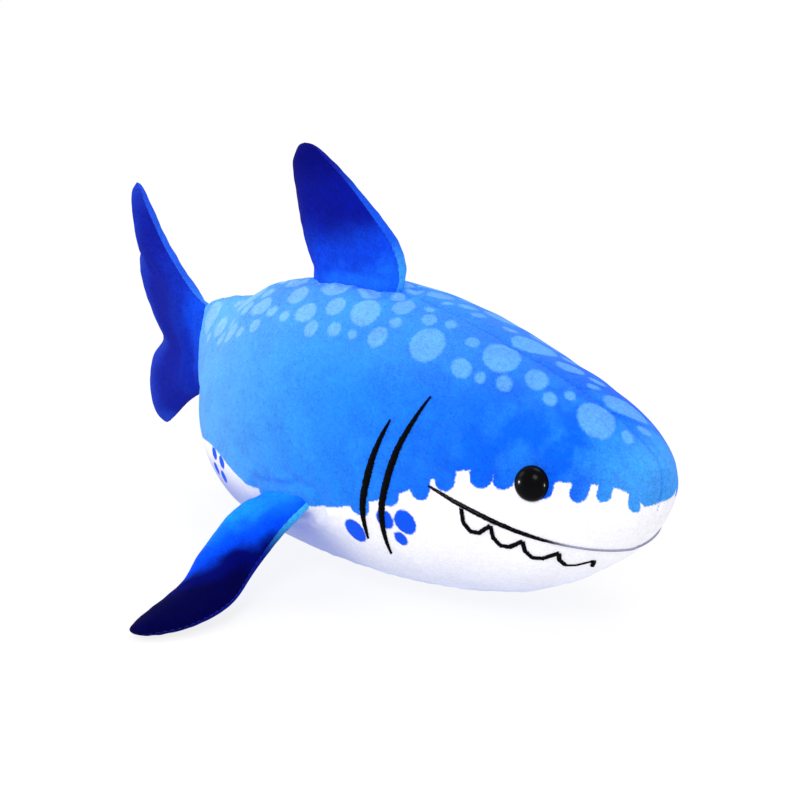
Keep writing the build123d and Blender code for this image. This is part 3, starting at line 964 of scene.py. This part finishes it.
class Fin:
    """A stuffed fin: its middle surface, and how far the filling pushes the panels from it."""

    def __init__(self, name, edges, facing, half, radii, margin, hinge, sunk, seed, floor=-1.0):
        """edges: the root, tip, rear and front curves. facing: where the near panel faces.
"""
        self.name, self.half, self.radii, self.margin = name, half, radii, margin
        self.hinge, self.sunk, self.seed, self.floor = hinge, sunk, seed, floor
        grid = patch(*edges, 90, 70)
        normal = grid_normals(grid)
        if np.sum(normal * np.array(facing)) < 0:
            normal = -normal
        across, outward = distance_along(grid, 1), distance_along(grid)
        edges_away = np.stack([across, across[:, -1:] - across, outward[-1:] - outward, outward], -1)
        self.fields = np.concatenate([grid, normal, edges_away], -1)
        self.middle = grid.mean((0, 1))
        self.chord = across[:, -1]

    def read(self, v, w):
        rows, columns = self.fields.shape[:2]
        r, c = np.clip(v, 0, 1) * (rows - 1), np.clip(w, 0, 1) * (columns - 1)
        r0, c0 = np.minimum(r.astype(int), rows - 2), np.minimum(c.astype(int), columns - 2)
        r, c = (r - r0)[..., None], (c - c0)[..., None]
        f = self.fields
        return ((1 - r) * ((1 - c) * f[r0, c0] + c * f[r0, c0 + 1])
                + r * ((1 - c) * f[r0 + 1, c0] + c * f[r0 + 1, c0 + 1]))

    def seam_share(self, v):
        """Where the front seam runs on the near side, as a share from rear to front."""
        chord = np.interp(v, np.linspace(0, 1, len(self.chord)), self.chord)
        return 1 - np.interp(v, [0, 1], self.margin) / chord

    def skin(self, v, w, side, thinner=0.0):
        """Points of the panel on one side (1 near, -1 far), and the distance from the front edge."""
        fields = self.read(v, w)
        side = np.asarray(side, float)[..., None]
        point, normal = fields[..., :3], fields[..., 3:6]
        rear, front, tip, root = (fields[..., k] for k in range(6, 10))
        half = np.interp(v, [0, 0.32, 1], self.half)
        half = half * rounded(rear, self.radii[0]) ** 1.2 * rounded(front, self.radii[1])
        half = half * rounded(tip, self.radii[2])
        seam = np.exp(-((front - np.interp(v, [0, 1], self.margin)) / 1.3) ** 2) * (side[..., 0] > 0)
        half = half * (1 - 0.22 * seam)
        sewn = np.exp(-((root - self.sunk) / 3.0) ** 2)
        gathers = noise_at(point * np.array([1.0, 1.0, 0.3]), 3.5, self.seed) * np.exp(-root / 12)
        lumps = noise_at(point + 20 * side, 15.0, self.seed + 4)
        half = half * (1 - 0.18 * sewn + 0.14 * gathers + 0.1 * lumps)
        edge = np.minimum(rear, np.minimum(front, tip))
        pucker = noise_at(point, 4.5, self.seed + 8) * np.exp(-((edge - 3) / 4.0) ** 2) * rounded(edge, 4)
        half = np.maximum(half + 0.4 * pucker - thinner, 0)
        found = point + side * normal * half[..., None]
        found[..., 2] = np.maximum(found[..., 2], self.floor)
        return found, front

    def panel(self, word, node, paint, far):
        rows, columns = 150 // COARSE, 120 // COARSE
        v = np.sin(np.linspace(0, math.pi / 2, rows))[:, None] + np.zeros((1, columns))
        seam = self.seam_share(v[:, :1])
        if far:
            turned = columns // 4
            side = np.where(np.arange(columns) < columns - turned, -1, 1)[None, :]
            w = np.concatenate([even(columns - turned)[None, :] + 0 * seam,
                                1 - (1 - seam) * np.linspace(0, 1, turned + 1)[None, 1:] ** 2], axis=1)
        else:
            side = 1
            w = seam * (1 - np.cos(math.pi / 2 * np.linspace(0, 1, columns)))[None, :]
        points, front = self.skin(v, w, side)
        piece = grid_object(self.name + "_" + word + "_plush", points,
                            {"outward": v, "forward": w, "rim": 3.5 - front}, self.middle)
        self.finish(piece, paint, node)

    def filling(self):
        rows, columns = 40, 60
        v = np.linspace(0, 0.7, rows)[:, None] + np.zeros((1, columns))
        w = np.linspace(0.07, 0.93, columns)[None, :] + 0 * v
        near, _ = self.skin(v, w, 1, 1.2)
        far, _ = self.skin(v, w, -1, 1.2)
        piece = closed_tube(self.name + "_filling", np.concatenate([near, far[:, ::-1]], axis=1))
        self.finish(piece, STUFFING, self.name + "_stuffing")

    def seam(self):
        """Stitches up the rear edge, round the tip and down the front seam on the near side."""
        up = np.linspace(0.08, 1, 120)
        round_tip = np.linspace(0, 1, 60)
        seam = self.seam_share(up)
        v = np.concatenate([up, 0 * round_tip + 1, up[::-1]])
        w = np.concatenate([0 * up, round_tip * seam[-1], seam[::-1]])
        line, _ = self.skin(v, w, 1)
        fields = self.read(v, w)
        away = line - self.middle
        away[-len(up):] = fields[-len(up):, 3:6]
        away /= np.linalg.norm(away, axis=1, keepdims=True)
        piece = strand_mesh(self.name + "_edge_stitches", seam_stitches(line, away, 2.4, 0.8, 0.2), 0.12)
        self.finish(piece, NAVY_THREAD, self.name + "_edge_seam_thread")

    def finish(self, piece, paint, node):
        piece.data.materials.append(paint)
        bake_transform(piece)
        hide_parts(node)

    def make(self, words, near_paint, far_paint):
        for word, paint, far in zip(words, (near_paint, far_paint), (False, True)):
            self.panel(word, self.name + "_" + word + "_panel", paint, far)
        self.filling()
        self.seam()


def upright(*outline):
    return [(x, 0, z) for x, z in outline]


def make_dorsal():
    root = upright((-40, 121), (-13, 125), (14, 126))
    rear = upright((-40, 121), (-41.5, 131), (-47.5, 147), (-52, 163), (-54, 174), (-52.5, 181.5))
    tip = upright((-52.5, 181.5), (-49.5, 185.5), (-44, 186.6), (-38.5, 185))
    front = upright((14, 126), (16.5, 134), (15.5, 143), (9, 152.5), (-4, 163), (-20, 174.5), (-38.5, 185))
    fin = Fin("dorsal_fin", (root, tip, rear, front), (0, -1, 0), half=(8.5, 9.5, 5.5),
              radii=(16, 17, 8), margin=(0.8, 0.1), hinge=((-13, 0, 128), (-14.4, 0, 142)),
              sunk=8.0, seed=1.0)
    fin.make(("right", "left"), DORSAL_PRINT, DORSAL_FAR_PRINT_AND_PAINTED_SHEEN)


def make_tail():
    root = upright((-110, 51), (-110, 71), (-110, 91))
    tip = upright((-153, 23.5), (-158, 30), (-161, 44), (-158, 58), (-149.5, 70), (-157, 82), (-163.5, 95),
                  (-165.8, 108), (-163.2, 113), (-167.6, 118), (-170, 132), (-171, 140), (-168.5, 144.8))
    lower = upright((-110, 51), (-122.9, 46), (-134, 38.5), (-145, 28), (-150, 23.8), (-153, 23.5))
    upper = upright((-110, 91), (-122.9, 95), (-134, 103.5), (-148, 117.5), (-160, 134),
                    (-165.5, 143.4), (-168.5, 144.8))
    fin = Fin("tail_fin", (root, tip, lower, upper), (0, -1, 0), half=(5, 8, 6), radii=(12, 13, 11),
              margin=(0.35, 0.35), hinge=((-119, 0, 70), (-134, 0, 70)), sunk=13.0, seed=11.0)
    fin.make(("right", "left"), TAIL_PRINT, TAIL_FAR_PRINT_AND_PAINTED_SHEEN)


def make_pectoral(side, word):
    def place(*outline):
        return [(x, side * y, z) for x, y, z in outline]

    root = place((-13, 56, 38.5), (3, 57, 42), (20, 57, 47))
    rear = place((-13, 56, 38.5), (-19, 71, 32), (-14.5, 97, 21), (-9, 113, 13), (-7, 133, 7), (-5, 146, 4))
    tip = place((-5, 146, 4), (-2, 149.4, 3.6), (3, 149, 3.6), (8, 145, 3.8))
    front = place((20, 57, 47), (17, 74, 35.5), (13, 88, 20), (18, 108, 10), (16, 130, 5.5), (8, 145, 3.8))
    fin = Fin(word + "_pectoral_fin", (root, tip, rear, front), (0, 0, 1), half=(5.2, 7.0, 3.2),
              radii=(12, 14, 9), margin=(0.8, 0.1), hinge=place((4, 61, 44), (4, 76, 34)),
              sunk=8.0, seed=21.0, floor=0.3)
    fin.make(("upper", "lower"), PECTORAL_PRINT, PECTORAL_LOWER_PRINT_AND_PAINTED_SHEEN)


SKIN_TO_FILLING = 5.0


def make_stuffing():
    """The fibre filling inside the body, a little smaller than the skin."""
    ways = np.linspace(0.03, 0.97, 60)[:, None]
    angles = np.linspace(0, 2 * math.pi, 72, endpoint=False)[None, :]
    grid = surface(ways, angles) - spoke(ways, angles)[1] * SKIN_TO_FILLING
    dress(closed_tube("body_fibre_filling", grid), STUFFING, "body_stuffing")


# ---- make everything
make_stuffing()
make_mouth()
make_back_seam()
make_belly_seam()
for side, word in ((RIGHT, "right"), (LEFT, "left")):
    make_teeth(side, word)
    make_gills(side, word)
    make_eye(side, word)
    make_pectoral(side, word)
make_dorsal()
make_tail()
for name in ("right_eye_washer", "left_eye_washer"):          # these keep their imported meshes
    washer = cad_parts[name].data
    washer.materials.clear()
    washer.materials.append(WASHER)


# ---- camera, light and floor
VIEW_TURN, VIEW_RISE = 44.9, 19.5          # degrees round from the right side towards the nose, and up
VIEW_DISTANCE = 1300.0
VIEW_CENTRE_RIGHT, VIEW_CENTRE_UP = 9.0, 69.2   # what the camera aims at, across and up its view
LENS = 124.6


def add_camera():
    a, e = math.radians(VIEW_TURN), math.radians(VIEW_RISE)
    back = Vector((math.sin(a) * math.cos(e), -math.cos(a) * math.cos(e), math.sin(e)))
    across = Vector((math.cos(a), math.sin(a), 0))
    up = back.cross(across)
    aim = across * VIEW_CENTRE_RIGHT + up * VIEW_CENTRE_UP + Vector((2, 0, 0))
    data = bpy.data.cameras.new("camera")
    data.lens = LENS
    data.clip_end = 20
    turned = Matrix((across, up, back)).transposed().to_4x4()
    turned.translation = (aim + back * VIEW_DISTANCE) * MM
    camera = add_object("camera", data)
    camera.matrix_world = turned
    bpy.context.scene.camera = camera


def add_light(name, place, aim, size, power):
    data = bpy.data.lights.new(name, "AREA")
    data.shape = "DISK"
    data.size = size
    data.energy = power
    light = add_object(name, data)
    light.location = place
    light.rotation_euler = (Vector(aim) - Vector(place)).to_track_quat("-Z", "Y").to_euler()
    return light


def add_floor():
    size = 30.0
    corners = [(-size, -size, 0), (size, -size, 0), (size, size, 0), (-size, size, 0)]
    mesh = bpy.data.meshes.new("floor")
    mesh.from_pydata(corners, [], [(0, 1, 2, 3)])
    mesh.materials.append(plain_finish("floor", 100 / 3, (112, 112, 113), (116, 116, 117), 0.9, 1.0,
                                       Specular_IOR_Level=0.0, Emission_Color=(1, 1, 1, 1),
                                       Emission_Strength=0.82))
    add_object("floor", mesh)


def add_world():
    world = bpy.data.worlds.new("studio")
    world.use_nodes = True
    background = world.node_tree.nodes["Background"]
    background.inputs["Color"].default_value = (1, 1, 1, 1)
    background.inputs["Strength"].default_value = 0.85
    bpy.context.scene.world = world
    bpy.context.scene.view_settings.view_transform = "Standard"


add_camera()
add_world()
add_floor()
BODY_MIDDLE, NEAR_EYE = (0, 0, 0.06), (0.13, -0.04, 0.08)      # what the lamps aim at
add_light("key", (0.9, -1.3, 1.5), BODY_MIDDLE, 0.7, 14)
add_light("fill", (-1.2, -1.0, 1.0), BODY_MIDDLE, 0.8, 6)
add_light("top", (0.1, 0.4, 1.8), BODY_MIDDLE, 0.9, 9)
# Two small lamps low at both sides of the camera give the eye its soft highlights.
for name, place in (("left_catchlight", (-0.7, -0.95, 0.14)), ("right_catchlight", (1.25, 0.02, 0.14))):
    add_light(name, place, NEAR_EYE, 0.13, 14).visible_diffuse = False
